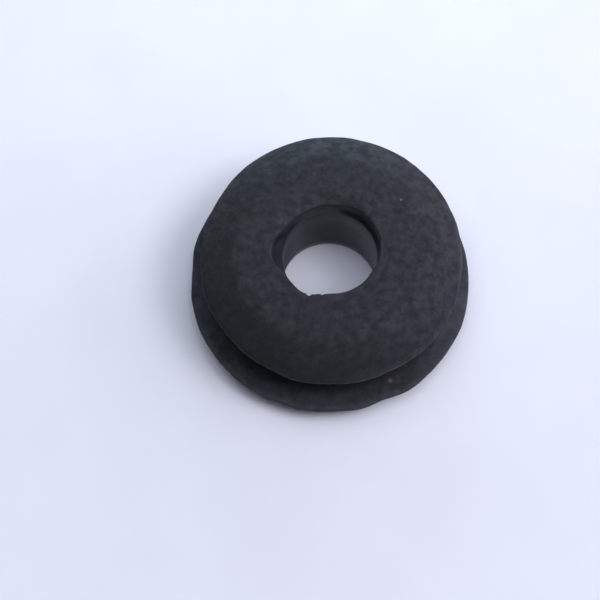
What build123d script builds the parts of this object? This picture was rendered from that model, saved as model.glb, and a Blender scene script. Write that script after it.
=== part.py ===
"""Fuel tap seal: one moulded rubber grommet.

The seal snaps into the outlet hole of a small fuel tank and grips the spigot of the tap that is
pushed through it. Two bevelled flanges stand on a neck, and the wall of the tank sits in the
groove between them. The bore has a wider entry that ends on a rounded ledge, where the shoulder
of the spigot stops. The seal lies flat on its larger flange, +Z up, with the origin on its axis
at the bottom.
"""

from build123d import *

import os

# Driving dimensions, in millimetres.
lower_flange_dia = 19.6
upper_flange_dia = 18.0
lower_flange_thickness = 2.2
upper_flange_thickness = 2.2
groove_width = 3.8  # gap between the flanges, where the wall of the tank sits
groove_depth = 2.6  # measured in from the rim of the upper flange
rim_edge = 0.4  # height of the straight edge left on each rim
lower_bevel_width = 2.7  # radial width of the bevel under the lower flange
upper_bevel_width = 2.5  # radial width of the bevel on top of the upper flange
bevel_bulge = 0.16  # how far each bevel swells out from a straight cone
bore_dia = 6.5
ledge_width = 0.32  # how much wider the entry is than the bore, on the radius
entry_depth = 1.1  # from the top face down to the ledge
mouth_width = 0.45  # radial width of the shallow dish round the entry
mouth_drop = 0.2  # depth of that dish at the entry

# Roundings, in millimetres.
root_round = 0.6  # foot of the groove
rim_round = 0.15  # corners of each rim
crown_round = 0.8  # between the flat end faces and their bevels
ledge_round = 0.26
entry_round = 0.12
outlet_round = 0.2  # lower edge of the bore

# Sizes that follow from the ones above.
lower_rim = lower_flange_dia / 2
upper_rim = upper_flange_dia / 2
neck = upper_rim - groove_depth
foot = lower_rim - lower_bevel_width
crown = upper_rim - upper_bevel_width
bore = bore_dia / 2
entry = bore + ledge_width
groove_floor = lower_flange_thickness
groove_roof = groove_floor + groove_width
overall_height = groove_roof + upper_flange_thickness
lower_bevel_top = groove_floor - rim_edge
upper_bevel_bottom = groove_roof + rim_edge
ledge_height = overall_height - entry_depth
corner_limit = 0.45 * rim_edge  # two corners share one rim edge
ledge_limit = 0.9 * ledge_width


def ring_at(radius, height):
    """The round edge of the seal that has this radius and lies at this height."""
    near = 0.001
    rings = seal.edges().filter_by(GeomType.CIRCLE)
    same_radius = rings.filter_by(lambda ring: abs(ring.radius - radius) < near)
    return same_radius.filter_by(lambda ring: abs(ring.center().Z - height) < near)


with BuildPart() as seal:
    # The body: half of its section, swept once round the axis.
    with BuildSketch(Plane.XZ):
        with BuildLine():
            Polyline((0, overall_height), (0, 0), (foot, 0))
            SagittaArc((foot, 0), (lower_rim, lower_bevel_top), -bevel_bulge)
            Polyline(
                (lower_rim, lower_bevel_top),
                (lower_rim, groove_floor),
                (neck, groove_floor),
                (neck, groove_roof),
                (upper_rim, groove_roof),
                (upper_rim, upper_bevel_bottom),
            )
            SagittaArc((upper_rim, upper_bevel_bottom), (crown, overall_height), -bevel_bulge)
            Line((crown, overall_height), (0, overall_height))
        make_face()
    revolve(axis=Axis.Z)

    # The stepped bore, and the shallow dish round its mouth.
    with Locations((0, 0, overall_height)):
        CounterBoreHole(bore, counter_bore_radius=entry, counter_bore_depth=entry_depth)
        Cone(
            bottom_radius=entry,
            top_radius=entry + mouth_width,
            height=mouth_drop,
            align=(Align.CENTER, Align.CENTER, Align.MAX),
            mode=Mode.SUBTRACT,
        )

    # Roundings left by the mould.
    fillet(ring_at(neck, groove_floor) + ring_at(neck, groove_roof), root_round)
    fillet(ring_at(crown, overall_height) + ring_at(foot, 0), crown_round)
    lower_corners = ring_at(lower_rim, lower_bevel_top) + ring_at(lower_rim, groove_floor)
    upper_corners = ring_at(upper_rim, groove_roof) + ring_at(upper_rim, upper_bevel_bottom)
    fillet(lower_corners + upper_corners, min(rim_round, corner_limit))
    fillet(ring_at(bore, ledge_height), min(ledge_round, ledge_limit))
    fillet(ring_at(entry, overall_height - mouth_drop), entry_round)
    fillet(ring_at(bore, 0), outlet_round)

seal.part.label = "seal"

os.makedirs("parts", exist_ok=True)
export_step(seal.part, "parts/seal.step")
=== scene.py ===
"""Fuel tap seal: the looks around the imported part.

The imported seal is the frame. One detailed mesh replaces it: the same section, swept round the
same axis, with the unevenness of the moulding, the torn flash at the mouth and the grain of old
rubber. Lengths are in metres, and in millimetres where a table says so. Angles are in degrees,
and the angle round the axis is counted from +X towards +Y.
"""

import math

import bpy
from mathutils import Matrix, Vector, noise


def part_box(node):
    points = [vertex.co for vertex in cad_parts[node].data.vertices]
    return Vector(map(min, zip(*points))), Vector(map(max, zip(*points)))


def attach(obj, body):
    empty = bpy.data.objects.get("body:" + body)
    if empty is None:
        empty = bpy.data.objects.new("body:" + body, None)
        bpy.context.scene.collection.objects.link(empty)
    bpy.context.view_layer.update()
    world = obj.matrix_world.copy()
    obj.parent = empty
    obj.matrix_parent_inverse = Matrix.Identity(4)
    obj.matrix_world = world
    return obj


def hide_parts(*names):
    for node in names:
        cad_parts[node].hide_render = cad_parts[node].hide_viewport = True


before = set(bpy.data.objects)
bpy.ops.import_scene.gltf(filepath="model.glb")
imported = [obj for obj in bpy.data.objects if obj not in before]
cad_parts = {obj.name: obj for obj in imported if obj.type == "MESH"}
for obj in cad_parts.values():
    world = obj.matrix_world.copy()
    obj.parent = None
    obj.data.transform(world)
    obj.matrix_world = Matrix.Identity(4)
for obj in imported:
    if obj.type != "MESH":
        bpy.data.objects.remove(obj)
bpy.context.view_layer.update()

MM = 0.001
NODE = "seal"
BODY = "root"

# The size of the seal, from its CAD solid.
low_corner, high_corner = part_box(NODE)
axis_x = (low_corner.x + high_corner.x) / 2
axis_y = (low_corner.y + high_corner.y) / 2
base = low_corner.z
height = high_corner.z - low_corner.z
lower_rim = (high_corner.x - low_corner.x) / 2

# The rest of its section. Rims, neck, foot, crown, bore, entry and face are radii.
upper_rim = lower_rim - 0.8 * MM
lower_flange = 2.2 * MM
upper_flange = 2.2 * MM
rim_edge = 0.4 * MM  # height of the straight edge left on each rim
neck = upper_rim - 2.6 * MM
foot = lower_rim - 2.7 * MM  # inner end of the bevel under the lower flange
crown = upper_rim - 2.5 * MM  # inner end of the bevel on top of the upper flange
bore = 3.25 * MM
entry = bore + 0.32 * MM
face = entry + 0.85 * MM  # from here the end face runs on undisturbed
ledge = height - 1.1 * MM
worn_ledge = ledge - 0.45 * MM  # the height it has worn down to at the bore
flare = 0.16 * MM  # how much wider the bore is at its worn lower end, on the radius
flare_height = 1.0 * MM
bevel_swell = 0.16 * MM
bevel_reach = 0.12 * MM  # points this near the cone of a bevel swell with it
crown_fall = 0.1 * MM  # how much lower the flat end face is at its edge
groove_roof = height - upper_flange
rim_low = lower_flange - rim_edge
rim_high = groove_roof + rim_edge

SLICES = 480  # round the axis
SLICE_ANGLES = [360 * index / SLICES for index in range(SLICES)]
LONGEST_STEP = 0.3 * MM  # along the section
MOUTH_STEP = 0.1 * MM  # and near the mouth of the bore


# ---------------------------------------------------------------- the section


def rounded(corner, before, after, radius, steps):
    """The points of a round of this radius at a corner of the section."""
    into = (before - corner).normalized()
    out = (after - corner).normalized()
    half = into.angle(out) / 2
    reach = radius / math.tan(half)
    centre = corner + (into + out).normalized() * (radius / math.sin(half))
    start = corner + into * reach - centre
    sweep = start.angle_signed(corner + out * reach - centre)
    points = []
    for step in range(steps + 1):
        turn = Matrix.Rotation(-sweep * step / steps, 2)
        points.append(centre + turn @ start)
    return points


def section():
    """The closed outline of the wall: radius and height of each point, anticlockwise."""
    corners = [  # radius, height, radius of the round in millimetres, steps in the round
        (bore, flare_height, 1.0, 3),
        (bore + flare, 0, 0.05, 3),
        (foot, 0, 0.8, 4),
        (lower_rim, rim_low, 0.15, 3),
        (lower_rim, lower_flange, 0.15, 4),
        (neck, lower_flange, 0.6, 6),
        (neck, groove_roof, 0.6, 6),
        (upper_rim, groove_roof, 0.15, 4),
        (upper_rim, rim_high, 0.28, 5),
        (crown, height, 1.5, 7),
        (entry, height, 0.12, 4),
        (entry, ledge, 0.2, 3),
        (bore, worn_ledge, 0.35, 5),
    ]
    count = len(corners)
    places = [Vector((radius, level)) for radius, level, _, _ in corners]
    outline = []
    for index, (_, _, radius, steps) in enumerate(corners):
        before = places[index - 1]
        after = places[(index + 1) % count]
        outline += rounded(places[index], before, after, radius * MM, steps)
    return subdivided(outline)


def subdivided(outline):
    """The outline with its long runs divided into short ones."""
    points = []
    for index, point in enumerate(outline):
        following = outline[(index + 1) % len(outline)]
        near_mouth = following.x < face and following.y > ledge
        step = MOUTH_STEP if near_mouth else LONGEST_STEP
        pieces = max(1, math.ceil((following - point).length / step))
        for piece in range(pieces):
            points.append(point.lerp(following, piece / pieces))
    return points


def swelled(point):
    """A point of the section, with the bevels swelled from straight cones and the top domed."""
    radius, level = point
    if level > rim_high:
        fall = ease(radius, face, crown) * (1 - ease(radius, crown, upper_rim))
        point = Vector((radius, level - crown_fall * fall))
    bevels = (  # radius of the inner and the outer end, then their heights
        (foot, lower_rim, 0, rim_low),
        (crown, upper_rim, height, rim_high),
    )
    for inner, outer, inner_level, outer_level in bevels:
        run = Vector((outer - inner, outer_level - inner_level))
        along = Vector((radius - inner, level - inner_level))
        share = along.dot(run) / run.length_squared
        beside = along - run * share
        if 0 < share < 1 and beside.length < bevel_reach:
            away = Vector((abs(run.y), run.x if inner_level else -run.x)).normalized()
            return point + away * (4 * share * (1 - share) * bevel_swell)
    return point


# ------------------------------------------------- what the mould and use have done
#
# noise.fractal takes a place, a smoothness, how much finer each octave is, and how many there are.


def ease(value, start, end):
    """0 before start, 1 after end, and a smooth rise between them."""
    share = min(max((value - start) / (end - start), 0), 1)
    return share * share * (3 - 2 * share)


def turn_between(angle, centre):
    """The signed angle from centre to angle, between -180 and 180."""
    return (angle - centre + 180) % 360 - 180


def bump_at(angle, centre, half_width):
    """1 at centre, falling to 0 at half_width to either side."""
    away = abs(turn_between(angle, centre)) / half_width
    return (1 - away) ** 2 * (1 + 2 * away) if away < 1 else 0


def share_at(angle, places):
    """The largest share that any of these places has at this angle."""
    return max(share * bump_at(angle, centre, half_width) for centre, half_width, share in places)


LOWER_RIM_DENTS = (  # angle, half width, change of radius in millimetres
    (176, 13, -0.15),
    (150, 12, -0.04),
    (246, 6, -0.08),
    (252, 12, -0.08),
    (270, 16, -0.14),
    (291, 12, -0.20),
    (340, 22, 0.06),
)
UPPER_RIM_DENTS = (
    (112, 18, -0.03),
    (147, 18, -0.06),
    (200, 22, 0.10),
    (230, 18, 0.06),
    (253, 16, 0.13),
    (283, 22, 0.06),
    (316, 24, 0.12),
)
UPPER_FLANGE_OFFSET = Vector((0.12, 0.03)) * MM  # the halves of the mould did not quite meet
RIM_WAVE = 0.03 * MM
RIM_WAVES = 2.2  # to the radian
LOWER_PART, UPPER_PART = 0.0, 5.0  # the parts of the noise that the rims take
DENT_START, DENT_FULL = 6.6 * MM, 9.0 * MM  # the dents of a rim fade in between these radii
LOWER_SIDE, UPPER_SIDE = 3.2 * MM, 5.4 * MM  # heights up to and from which one rim alone counts

MOUTH = (  # angle, then in millimetres: radius of the edge, dish depth and width, furrow depth
    (0, 3.42, 0.02, 0.45, 0.02),
    (10, 3.52, 0.03, 0.45, 0),
    (28, 3.46, 0.05, 0.45, 0),
    (48, 3.46, 0.16, 0.60, 0),
    (60, 3.44, 0.26, 0.75, 0),
    (70, 3.40, 0.28, 0.80, 0.03),
    (80, 3.26, 0.26, 0.85, 0.08),
    (92, 3.26, 0.26, 0.85, 0.07),
    (106, 3.26, 0.26, 0.85, 0),
    (126, 3.28, 0.26, 0.85, 0),
    (141, 3.38, 0.24, 0.80, 0),
    (153, 3.46, 0.20, 0.70, 0),
    (166, 3.78, 0.12, 0.55, 0),
    (182, 3.94, 0.12, 0.55, 0),
    (194, 3.86, 0.10, 0.50, 0),
    (203, 3.60, 0.05, 0.45, 0),
    (215, 3.51, 0.05, 0.45, 0),
    (228, 3.55, 0.05, 0.45, 0),
    (237, 3.59, 0.05, 0.45, 0),
    (240.5, 3.54, 0.05, 0.45, 0),
    (245, 3.61, 0.05, 0.45, 0),
    (247.5, 3.43, 0.05, 0.45, 0),
    (250.5, 3.37, 0.05, 0.45, 0),
    (255.5, 3.26, 0.05, 0.45, 0),
    (259, 3.29, 0.05, 0.45, 0),
    (262, 3.20, 0.05, 0.45, 0),
    (271, 3.15, 0.05, 0.45, 0.01),
    (285, 3.18, 0.05, 0.45, 0.02),
    (300, 3.20, 0.05, 0.45, 0.07),
    (316, 3.23, 0.05, 0.45, 0.10),
    (330, 3.22, 0.05, 0.45, 0.10),
    (345, 3.38, 0.03, 0.45, 0.09),
)
FURROW_RADIUS, FURROW_WIDTH = 3.95 * MM, 0.18 * MM  # the furrow round the lip
EDGE_WAVE = 0.012 * MM
EDGE_WAVES = 0.25  # to the degree
EDGE_PART = 3.3
EDGE_WAVE_FULL = 0.1 * MM  # this far from the bore, the edge waves as much as anywhere
TOUCHING = 0.001 * MM  # a point this near the wall of the entry is on it
MOUTH_DEEPEST = worn_ledge - 0.3 * MM  # below this the table changes nothing


def rim_change(angle, dents, part):
    """How far the rim stands out or in at this angle, with its dents and this part of the noise."""
    change = sum(depth * MM * bump_at(angle, centre, width) for centre, width, depth in dents)
    turn = math.radians(angle)
    place = Vector((math.cos(turn), math.sin(turn), part))
    return change + RIM_WAVE * noise.fractal(place * RIM_WAVES, 0.9, 2.2, 4)


def smooth_course(table, angle):
    """The values between the rows of a table of angle and values, on a smooth closed curve."""
    count = len(table)
    around = angle % 360
    index = max(row for row in range(count) if table[row][0] <= around)
    rows = [table[(index + step) % count] for step in (-1, 0, 1, 2)]
    turns = [turn_between(row[0], around) for row in rows]
    span = turns[2] - turns[1]
    share = -turns[1] / span
    values = []
    for column in range(1, len(table[0])):
        before, start, end, after = (row[column] for row in rows)
        start_slope = (end - before) / (turns[2] - turns[0]) * span
        end_slope = (after - start) / (turns[3] - turns[1]) * span
        rise = end - start
        bend = start_slope + end_slope - 2 * rise
        steepness = start_slope + share * (rise - start_slope - bend * (1 - share))
        values.append(start + share * steepness)
    return values


def mouth_at(angle):
    """The row of MOUTH for this angle in metres, without the angle and with a ragged edge."""
    edge, *rest = (value * MM for value in smooth_course(MOUTH, angle))
    place = Vector((angle * EDGE_WAVES, EDGE_PART, 0))
    wave = EDGE_WAVE * noise.fractal(place, 0.9, 2.0, 3)
    return edge + wave * ease(abs(edge - bore), 0, EDGE_WAVE_FULL), *rest


def at_mouth(radius, level, edge, depth, width, furrow):
    """A point of the entry or of the face around it, moved to this edge and this dish."""
    if radius < entry + TOUCHING:
        lower = depth * ease(level, ledge, height)
        return bore + (radius - bore) * (edge - bore) / (entry - bore), level - lower
    inside = 1 - min((radius - entry) / width, 1)
    from_furrow = min(abs(radius - FURROW_RADIUS) / FURROW_WIDTH, 1)
    lower = depth * inside ** 2 + furrow * (1 - ease(from_furrow, 0, 1))
    return radius + (edge - entry) * ease(inside, 0, 1), level - lower


def shaped(point, angle, lower_change, upper_change, mouth):
    """A point of the section moved as the real seal departs from a true one, as x, y and z."""
    radius, level = point
    upper = ease(level, LOWER_SIDE, UPPER_SIDE)
    outside = ease(radius, DENT_START, DENT_FULL)
    if level > MOUTH_DEEPEST and radius < face:
        radius, level = at_mouth(radius, level, *mouth)
    radius += outside * ((1 - upper) * lower_change + upper * upper_change)
    turn = math.radians(angle)
    flat = Vector((math.cos(turn), math.sin(turn))) * radius
    flat += UPPER_FLANGE_OFFSET * upper * outside
    return Vector((axis_x + flat.x, axis_y + flat.y, base + level))


# ---------------------------------------------------- where shade and light are painted
#
# Each function says how far a point of the section lies in a place: 1 in it, 0 outside it, and
# between them where the place fades out.


def in_bore(point):
    """The smooth wall of the bore, where the core of the mould was, a little less near its top. The
    bore is smoother there, and a painted violet reflection is laid on it.
    """
    radius, level = point
    return (1 - ease(radius, entry, entry + 0.1 * MM)) * (1 - 0.3 * ease(level, 5.2 * MM, 7.6 * MM))


def low_in_bore(point):
    """The lower part of the wall of the bore, and a little of the upper part."""
    radius, level = point
    return (1 - ease(radius, bore, bore + 0.05 * MM)) * (1 - 0.6 * ease(level, 3.6 * MM, 5.6 * MM))


def in_entry(point):
    """The ledge and the wall of the entry of the bore."""
    radius, level = point
    inside = ease(radius, bore, bore + 0.05 * MM) * (1 - ease(radius, entry, entry + 0.1 * MM))
    above = ease(level, worn_ledge - 0.3 * MM, worn_ledge)
    return inside * above * (1 - ease(level, height - 0.5 * MM, height))


def by_mouth(point):
    """The entry of the bore and the inner edge of the dish around it."""
    radius, level = point
    above = ease(level, worn_ledge - 0.5 * MM, worn_ledge + 0.3 * MM)
    return above * (1 - ease(radius, entry, entry + 0.2 * MM))


def on_top(point):
    """The end face and its bevel."""
    radius, level = point
    return ease(radius, entry, entry + 0.3 * MM) * ease(level, groove_roof, groove_roof + 0.4 * MM)


def on_upper_rim(point):
    """The edge of the upper flange."""
    radius, level = point
    return ease(radius, upper_rim - 0.35 * MM, upper_rim - 0.05 * MM) if level > groove_roof else 0


def on_lower_rim(point):
    """The edge of the lower flange."""
    radius, _ = point
    return ease(radius, lower_rim - 0.35 * MM, lower_rim - 0.05 * MM)


def in_groove(point):
    """The groove between the flanges."""
    radius, level = point
    inside = 1 - ease(radius, upper_rim - 1.2 * MM, upper_rim - 0.3 * MM)
    inside *= ease(radius, bore + 1.0 * MM, bore + 1.5 * MM)
    above_floor = ease(level, lower_flange - 0.3 * MM, lower_flange - 0.05 * MM)
    return inside * above_floor * (1 - ease(level, groove_roof + 0.05 * MM, groove_roof + 0.3 * MM))


def on_floor(point):
    """The outer part of the floor of the groove."""
    radius, level = point
    if level > height / 2:
        return 0
    floor = ease(level, lower_flange - 0.2 * MM, lower_flange - 0.05 * MM)
    return floor * ease(radius, upper_rim - 0.8 * MM, upper_rim - 0.2 * MM)


ALL_ROUND = math.inf
# Painted shade: darker in the groove, the entry and the bore, where shade falls, and on the left of
# the upper rim and the near side of the end face, which face away from the light.
PAINTED_SHADE_PLACES = (  # place in the section, then round the axis: angle, half width and share
    (in_groove, ((245, 55, 0.6), (285, 55, 0.6), (318, 34, 0.7))),
    (in_entry, ((180, 42, 1.0), (140, 30, 0.2), (38, 36, 0.4))),
    (low_in_bore, ((95, 65, 0.3), (165, 50, 0.4))),
    (on_upper_rim, ((205, 60, 0.8),)),
    (on_top, ((262, 95, 0.24),)),
)
PAINTED_LIGHT_PLACES = (  # the same for painted highlights on the rims and the mouth, and painted light on the groove floor
    (on_upper_rim, ((300, 45, 0.3), (5, 30, 0.45), (110, 60, 0.25))),
    (on_lower_rim, ((0, ALL_ROUND, 0.4),)),
    (on_floor, ((342, 50, 0.6), (185, 34, 0.25), (268, 70, 0.15))),
    (by_mouth, ((5, 40, 0.6), (55, 50, 0.2), (110, 50, 0.3))),
)


def covered(outline, painted_places):
    """The share of each vertex that these painted places cover, slice by slice."""
    depths = [[place(point) for place, _ in painted_places] for point in outline]
    shares = []
    for angle in SLICE_ANGLES:
        strengths = [share_at(angle, places) for _, places in painted_places]
        for row in depths:
            shares.append(max(depth * strength for depth, strength in zip(row, strengths)))
    return shares


# ------------------------------------------------------------------ the mesh


def swept_faces(count):
    """The faces between the slices of a ring, each slice a closed outline of count points."""
    faces = []
    for slice_index in range(SLICES):
        here = slice_index * count
        there = (slice_index + 1) % SLICES * count
        for index in range(count):
            following = (index + 1) % count
            faces.append((here + index, there + index, there + following, here + following))
    return faces


def mark(mesh, name, shares):
    """Stores one value for each vertex, which the material reads."""
    layer = mesh.attributes.new(name, "FLOAT", "POINT")
    layer.data.foreach_set("value", shares)


def seal_mesh():
    """The wall of the seal: its section, swept round the axis."""
    outline = [swelled(point) for point in section()]
    vertices = []
    for angle in SLICE_ANGLES:
        lower_change = rim_change(angle, LOWER_RIM_DENTS, LOWER_PART)
        upper_change = rim_change(angle, UPPER_RIM_DENTS, UPPER_PART)
        mouth = mouth_at(angle)
        for point in outline:
            vertices.append(shaped(point, angle, lower_change, upper_change, mouth))
    mesh = bpy.data.meshes.new("seal_rubber")
    mesh.from_pydata(vertices, [], swept_faces(len(outline)))
    mesh.update()
    mark(mesh, "bore", [in_bore(point) for point in outline] * SLICES)
    mark(mesh, "pale", covered(outline, PAINTED_LIGHT_PLACES))
    mark(mesh, "painted_shade", covered(outline, PAINTED_SHADE_PLACES))
    return mesh


UNDULATION, UNDULATIONS = 0.022 * MM, 0.7  # height of the broad waves of the skin, and per mm
GRAIN, GRAINS = 0.005 * MM, 3.1  # the same for its finer grain
GRAIN_PART = Vector((9, 4, 2))  # the part of the noise that the grain takes
INWARD = 0.5  # taken off the noise, so that little of the skin is cut off at the CAD box
SMOOTH_BORE = 0.25  # the share of both that is left in the bore


def roughen(mesh):
    """Moves each vertex a little along its normal, and keeps the mesh inside the CAD box."""
    normals = [vertex.normal.copy() for vertex in mesh.vertices]
    for vertex, normal in zip(mesh.vertices, normals):
        place = vertex.co / MM
        broad = noise.fractal(place * UNDULATIONS, 0.8, 2.1, 3) - INWARD
        fine = noise.fractal(place * GRAINS + GRAIN_PART, 0.7, 2.1, 3) - INWARD
        radius = math.hypot(vertex.co.x - axis_x, vertex.co.y - axis_y)
        share = SMOOTH_BORE + (1 - SMOOTH_BORE) * ease(radius, bore, face)
        moved = vertex.co + normal * (UNDULATION * broad + GRAIN * fine) * share
        for side in range(3):
            moved[side] = min(max(moved[side], low_corner[side]), high_corner[side])
        vertex.co = moved
    mesh.update()


# -------------------------------------------------------------- the materials

# Colours are linear red, green and blue, and 1 for opaque.
BROWNISH_BLACK = (0.0060, 0.0050, 0.0047, 1)
PLAIN_BLACK = (0.0080, 0.0079, 0.0082, 1)
MOTTLE = (0.0132, 0.0128, 0.0131, 1)
DUST = (0.060, 0.058, 0.056, 1)
# painted violet reflection on the wall of the bore
PAINTED_BORE_SHEEN = (0.018, 0.016, 0.032, 1)
# painted highlights on the rims and the mouth, and painted light on the floor of the groove
PAINTED_LIGHT = (0.062, 0.062, 0.068, 1)
PALE_DIRT = (0.070, 0.058, 0.044, 1)
# painted shade, for the hollows and for the sides away from the light
PAINTED_SHADE = (0.0055, 0.0051, 0.0054, 1)
SKIN_ROUGHNESS = (0.62, 0.86)
BORE_ROUGHNESS = 0.36
PAINTED_SHADE_ROUGHNESS = 0.92
RUBBER_SHINE = 0.32
FLECKS = (  # of pale dirt: angle, then in millimetres: distance from the axis, level, radius
    (298, 8.6, 2.2, 0.14),
    (35.5, 6.1, 8.1, 0.09),
)
PAPER = (0.635, 0.608, 0.588, 1)
PAPER_LIGHTER = (0.655, 0.628, 0.608, 1)
PAPER_ROUGHNESS = 0.9
PAPER_SHINE = 0.2


def feed(tree, socket, value):
    """Links a socket to another one, or sets it to a value."""
    if isinstance(value, bpy.types.NodeSocket):
        tree.links.new(value, socket)
    else:
        socket.default_value = value


def add_node(tree, kind, settings=None, **inputs):
    """A new node with its settings, and with its inputs linked or set by name."""
    node = tree.nodes.new(kind)
    for name, value in (settings or {}).items():
        setattr(node, name, value)
    for name, value in inputs.items():
        feed(tree, node.inputs[name.replace("_", " ")], value)
    return node


def object_place(tree):
    """Where a point lies on its object."""
    return tree.nodes.new("ShaderNodeTexCoord").outputs["Object"]


def texture(tree, place, scale, detail, roughness, distortion=0.0):
    """Fractal noise with so many features to the millimetre."""
    return add_node(
        tree, "ShaderNodeTexNoise", Vector=place, Scale=scale / MM, Detail=detail,
        Roughness=roughness, Distortion=distortion,
    ).outputs["Fac"]


def ramp(tree, value, start, end, low=0.0, high=1.0):
    """value between start and end, spread smoothly to low and high."""
    return add_node(
        tree, "ShaderNodeMapRange", {"interpolation_type": "SMOOTHSTEP"}, Value=value,
        From_Min=start, From_Max=end, To_Min=low, To_Max=high,
    ).outputs["Result"]


def scaled(tree, first, second):
    """One value times the other."""
    node = add_node(tree, "ShaderNodeMath", {"operation": "MULTIPLY"})
    feed(tree, node.inputs[0], first)
    feed(tree, node.inputs[1], second)
    return node.outputs["Value"]


MIX_SOCKETS = {"RGBA": (0, 6, 7, 2), "FLOAT": (0, 2, 3, 0)}  # share, first, second, result


def mixed(tree, kind, share, first, second):
    """A blend of two colours (kind RGBA) or two numbers (kind FLOAT)."""
    node = add_node(tree, "ShaderNodeMix", {"data_type": kind})
    *inputs, result = MIX_SOCKETS[kind]
    for index, value in zip(inputs, (share, first, second)):
        feed(tree, node.inputs[index], value)
    return node.outputs[result]


def stored(tree, name):
    """The value that the mesh stores under this name."""
    return add_node(tree, "ShaderNodeAttribute", {"attribute_name": name}).outputs["Fac"]


def fleck_share(tree, place, angle, distance, level, radius):
    """1 in a round fleck, which is this far from the axis at this angle, and 0 outside it."""
    turn = math.radians(angle)
    across, along = distance * MM * math.cos(turn), distance * MM * math.sin(turn)
    away = add_node(tree, "ShaderNodeVectorMath", {"operation": "DISTANCE"}, Vector=place)
    away.inputs[1].default_value = (axis_x + across, axis_y + along, base + level * MM)
    return ramp(tree, away.outputs["Value"], 0.5 * radius * MM, 1.5 * radius * MM, 1.0, 0.0)


def rubber_colour(tree, place):
    """Charcoal, blotched and mottled, with dust and flecks of dirt, a painted violet reflection in
    the bore, painted highlights on the rims and the mouth, painted light on the floor of the
    groove, and painted shade in the hollows and on the sides away from the light.
    """
    blotches = ramp(tree, texture(tree, place, 0.55, 5, 0.6, 0.4), 0.35, 0.68)
    mottle = ramp(tree, texture(tree, place, 1.7, 6, 0.72), 0.41, 0.65)
    dust = ramp(tree, texture(tree, place, 6.0, 3, 0.7), 0.6, 0.85, 0.0, 0.5)
    # A painted violet reflection on the wall of the bore, lighter than the rubber and mottled.
    painted_bore_sheen = scaled(tree, ramp(tree, stored(tree, "bore"), 0, 1, 0.0, 0.7), mottle)
    light_patches = ramp(tree, texture(tree, place, 1.3, 4, 0.6), 0.3, 0.7, 0.45, 0.95)
    layers = [
        (mottle, MOTTLE),
        (dust, DUST),
        (painted_bore_sheen, PAINTED_BORE_SHEEN),
        # Painted highlights on the rims and the mouth, and painted light on the floor of the
        # groove, in patches.
        (scaled(tree, light_patches, stored(tree, "pale")), PAINTED_LIGHT),
    ]
    layers += [(fleck_share(tree, place, *fleck), PALE_DIRT) for fleck in FLECKS]
    # Painted shade in the groove, the entry and the bore, and on the sides away from the light.
    layers.append((stored(tree, "painted_shade"), PAINTED_SHADE))
    colour = mixed(tree, "RGBA", blotches, BROWNISH_BLACK, PLAIN_BLACK)
    for share, over in layers:
        colour = mixed(tree, "RGBA", share, colour, over)
    return colour


def rubber_roughness(tree, place):
    """Matte, smoother in the bore, and roughest where shade is painted."""
    skin = ramp(tree, texture(tree, place, 1.6, 4, 0.6), 0.32, 0.68, *SKIN_ROUGHNESS)
    roughness = mixed(tree, "FLOAT", stored(tree, "bore"), skin, BORE_ROUGHNESS)
    return mixed(tree, "FLOAT", stored(tree, "painted_shade"), roughness, PAINTED_SHADE_ROUGHNESS)


def rubber_bumps(tree, place):
    """Shallow pits, and a finer grain on them."""
    coarse = add_node(
        tree, "ShaderNodeBump", Height=texture(tree, place, 1.4, 4, 0.6), Strength=0.28,
        Distance=0.06 * MM,
    )
    fine = add_node(
        tree, "ShaderNodeBump", Height=texture(tree, place, 9.0, 3, 0.6), Strength=0.12,
        Distance=0.02 * MM, Normal=coarse.outputs["Normal"],
    )
    return fine.outputs["Normal"]


def new_material(name):
    """A new material and its node tree and shader."""
    material = bpy.data.materials.new(name)
    material.use_nodes = True
    tree = material.node_tree
    return material, tree, tree.nodes["Principled BSDF"]


def rubber_material():
    """Old moulded rubber."""
    material, tree, shader = new_material("old_rubber")
    place = object_place(tree)
    feed(tree, shader.inputs["Base Color"], rubber_colour(tree, place))
    feed(tree, shader.inputs["Roughness"], rubber_roughness(tree, place))
    feed(tree, shader.inputs["Specular IOR Level"], RUBBER_SHINE)
    feed(tree, shader.inputs["Normal"], rubber_bumps(tree, place))
    return material


def paper_material():
    """The plain pale floor: smooth matte paper."""
    material, tree, shader = new_material("pale_floor")
    clouding = ramp(tree, texture(tree, object_place(tree), 0.12, 3, 0.5), 0.3, 0.7)
    colour = mixed(tree, "RGBA", clouding, PAPER, PAPER_LIGHTER)
    feed(tree, shader.inputs["Base Color"], colour)
    feed(tree, shader.inputs["Roughness"], PAPER_ROUGHNESS)
    feed(tree, shader.inputs["Specular IOR Level"], PAPER_SHINE)
    return material


# ------------------------------------------------------------------ the pieces

FLOOR_HALF_SIDE = 1.2  # metres


def make_seal():
    """The seal as it is seen, in place of its CAD solid."""
    mesh = seal_mesh()
    roughen(mesh)
    mesh.materials.append(rubber_material())
    mesh.shade_smooth()
    seal = bpy.data.objects.new("seal_rubber", mesh)
    bpy.context.scene.collection.objects.link(seal)
    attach(seal, BODY)
    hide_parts(NODE)


def make_floor():
    """A wide square of paper under the seal."""
    side = FLOOR_HALF_SIDE
    corners = [(-side, -side, base), (side, -side, base), (side, side, base), (-side, side, base)]
    mesh = bpy.data.meshes.new("floor")
    mesh.from_pydata(corners, [], [(0, 1, 2, 3)])
    mesh.materials.append(paper_material())
    floor = bpy.data.objects.new("floor", mesh)
    bpy.context.scene.collection.objects.link(floor)


# ---------------------------------------------------------- camera and lights

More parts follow.
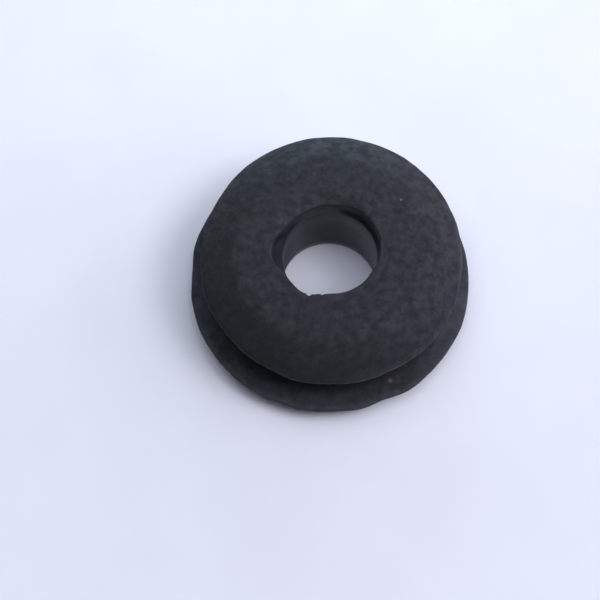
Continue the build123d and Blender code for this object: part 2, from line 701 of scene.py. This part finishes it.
LENS, SENSOR_WIDTH = 156.1, 36  # millimetres, as Blender takes them
CAMERA_AZIMUTH, CAMERA_ELEVATION = -91.34, 71.04
CAMERA_DISTANCE = 184.5 * MM
CAMERA_TARGET = Vector((-2.07, -0.80, 0)) * MM
NEAREST_SEEN = 0.01
LAMPS = (  # name, azimuth, elevation, distance and side in metres, power in watts, colour
    ("overhead", 0, 90, 0.3, 0.19, 0.60, (0.69, 0.77, 1.0)),
    ("main", 0, 65, 0.6, 0.38, 0.62, (0.88, 0.89, 1.0)),
    ("high", 342, 61, 0.6, 0.20, 1.66, (0.80, 0.84, 1.0)),
    ("high_left", 172, 64, 0.6, 0.38, 0.38, (0.80, 0.80, 1.0)),
    ("near_right", 342, 32, 0.6, 0.38, 0.42, (0.70, 0.75, 1.0)),
    ("right", 4, 16, 0.5, 0.42, 1.90, (0.60, 0.70, 1.0)),
    ("far_right", 45, 15, 0.13, 0.085, 0.061, (1.0, 0.87, 0.97)),
    ("far", 90, 15, 0.08, 0.053, 0.043, (0.48, 0.76, 1.0)),
    ("far_left", 135, 15, 0.13, 0.085, 0.033, (0.80, 0.80, 1.0)),
)
ROOM_COLOUR = (0.93, 0.96, 1, 1)
ROOM_STRENGTH = 0.01


def direction(azimuth, elevation):
    """The unit vector that points this way from the seal."""
    across, up = math.radians(azimuth), math.radians(elevation)
    return Vector((math.cos(across) * math.cos(up), math.sin(across) * math.cos(up), math.sin(up)))


def aimed(obj, place, target):
    """Puts a camera or lamp at place, looking at target."""
    look = (target - place).to_track_quat("-Z", "Y").to_matrix().to_4x4()
    obj.matrix_world = Matrix.Translation(place) @ look
    bpy.context.scene.collection.objects.link(obj)


def make_camera():
    """The camera: steep, from the near side, with a long lens, aimed a little beside the seal."""
    data = bpy.data.cameras.new("camera")
    data.lens = LENS
    data.sensor_width = SENSOR_WIDTH
    data.clip_start = NEAREST_SEEN
    camera = bpy.data.objects.new("camera", data)
    away = direction(CAMERA_AZIMUTH, CAMERA_ELEVATION) * CAMERA_DISTANCE
    aimed(camera, CAMERA_TARGET + away, CAMERA_TARGET)
    bpy.context.scene.camera = camera


def make_lamp(name, azimuth, elevation, distance, side, power, colour):
    """A square soft lamp that looks at the seal from this direction and isn't seen itself."""
    data = bpy.data.lights.new(name, "AREA")
    data.size = side
    data.energy = power
    data.color = colour
    lamp = bpy.data.objects.new(name, data)
    lamp.visible_camera = False
    aimed(lamp, direction(azimuth, elevation) * distance, Vector((0, 0, 0)))


def make_lights():
    """Soft light from above and from the right, a little from low beyond, and a dim room."""
    for lamp in LAMPS:
        make_lamp(*lamp)
    world = bpy.data.worlds.new("room")
    bpy.context.scene.world = world
    world.use_nodes = True
    background = world.node_tree.nodes["Background"]
    background.inputs["Color"].default_value = ROOM_COLOUR
    background.inputs["Strength"].default_value = ROOM_STRENGTH


make_seal()
make_floor()
make_camera()
make_lights()
bpy.context.scene.view_settings.view_transform = "Standard"
